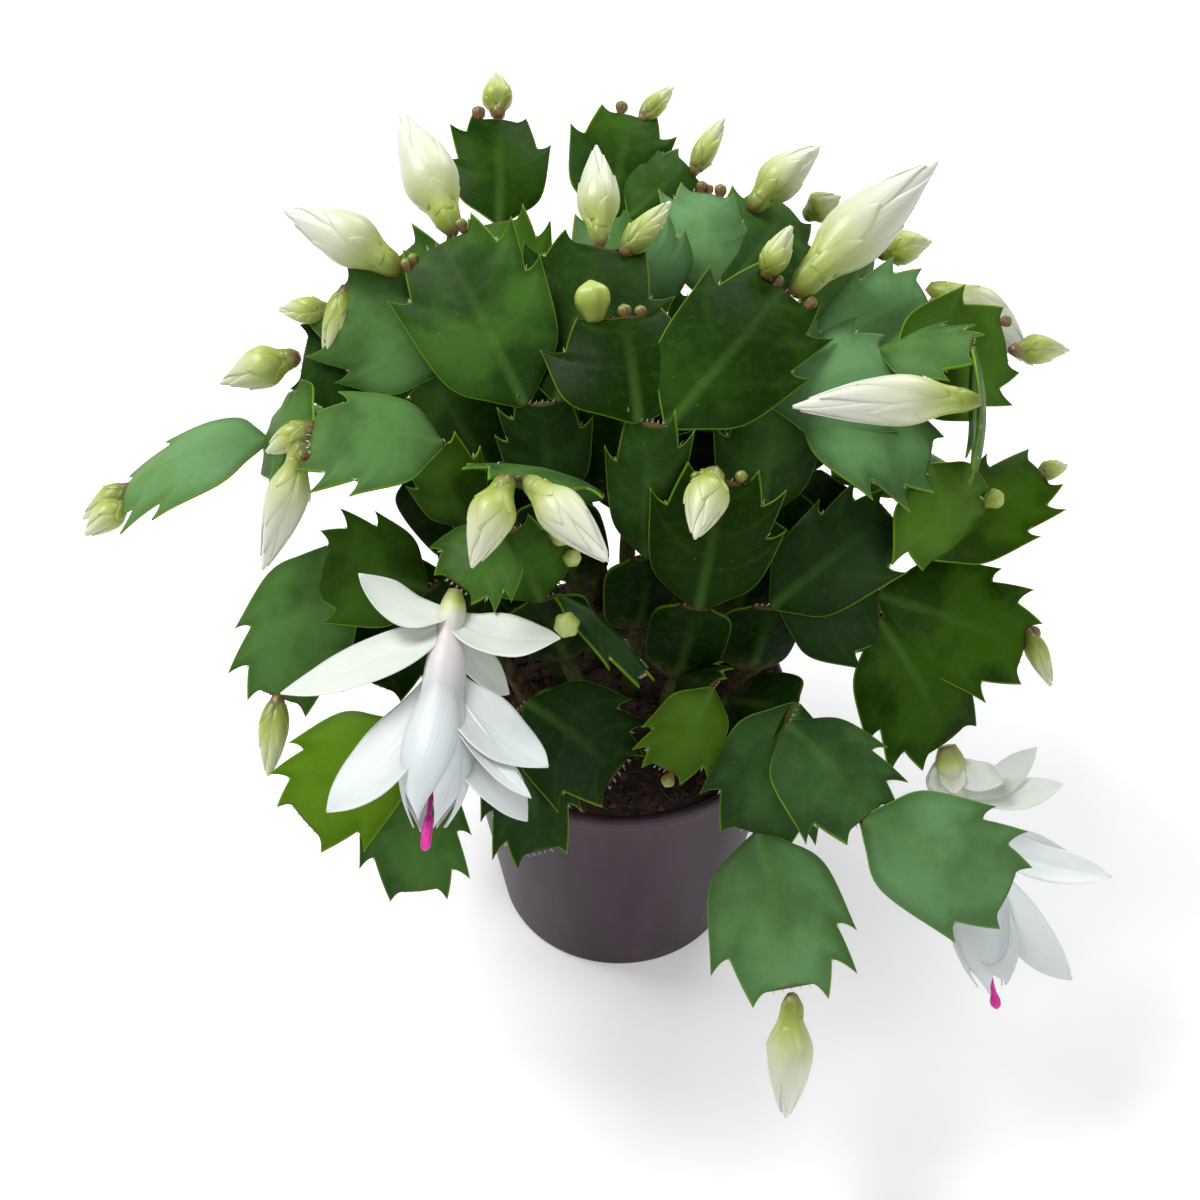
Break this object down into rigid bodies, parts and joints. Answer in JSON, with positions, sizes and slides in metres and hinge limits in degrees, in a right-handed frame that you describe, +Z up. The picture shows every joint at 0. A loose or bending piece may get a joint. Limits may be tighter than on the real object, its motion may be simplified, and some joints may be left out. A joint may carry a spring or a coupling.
{
  "type": "potted christmas cactus",
  "caption": "Christmas cactus with flat toothed segments, pointed white buds and hanging white flowers, in a small round plastic nursery pot filled with soil.",
  "frame": {"origin": "centre of the flat centre disc under the pot, where the pot rests", "axes": "+Z up along the pot's axis, +X to the right and -Y towards the viewer of the picture"},
  "size_m": [0.2857, 0.2648, 0.231],
  "materials": {
    "pot": "dark mauve-brown moulded plastic with a soft sheen",
    "soil": "dark moist peat with reddish fibres",
    "stem_green": "waxy fleshy segments, dark glossy green with lighter toothed margins",
    "bud": "smooth satin tepals, ivory white to yellow-green at the foot",
    "petal_white": "thin translucent white tepals with a cool shade",
    "stigma": "smooth magenta style and stigma"
  },
  "bodies": {
    "root": {"pot": "pot", "soil": "soil", "leafy_stem_crown": "stem_green", "leafy_stem_top": "stem_green", "leafy_stem_left": "stem_green", "leafy_stem_upper_left": "stem_green", "leafy_stem_back_left": "stem_green", "leafy_stem_back": "stem_green", "leafy_stem_back_right": "stem_green", "leafy_stem_right": "stem_green", "leafy_stem_upper_right": "stem_green", "leafy_stem_lower_right": "stem_green", "leafy_stem_front_centre": "stem_green", "leafy_stem_front_right": "stem_green", "leafy_stem_front": "stem_green", "leafy_stem_lower_left": "stem_green", "leafy_stem_front_left": "stem_green", "leafy_stem_bloom": "stem_green", "leafy_stem_rear_left": "stem_green", "leafy_stem_rear": "stem_green", "leafy_stem_rear_right": "stem_green", "leafy_stem_right_rear": "stem_green", "leafy_stem_low_left": "stem_green", "leafy_stem_low_right": "stem_green", "bud_01": "bud", "bud_02": "bud", "bud_03": "bud", "bud_04": "bud", "bud_05": "bud", "bud_06": "bud", "bud_07": "bud", "bud_08": "bud", "bud_09": "bud", "bud_10": "bud", "bud_11": "bud", "bud_12": "bud", "bud_13": "bud", "bud_14": "bud", "bud_15": "bud", "bud_16": "bud", "bud_17": "bud", "bud_18": "bud", "bud_19": "bud", "bud_20": "bud", "flower_left": "petal_white", "flower_left_style": "stigma", "flower_right": "petal_white", "flower_right_style": "stigma"}
  },
  "joints": []
}
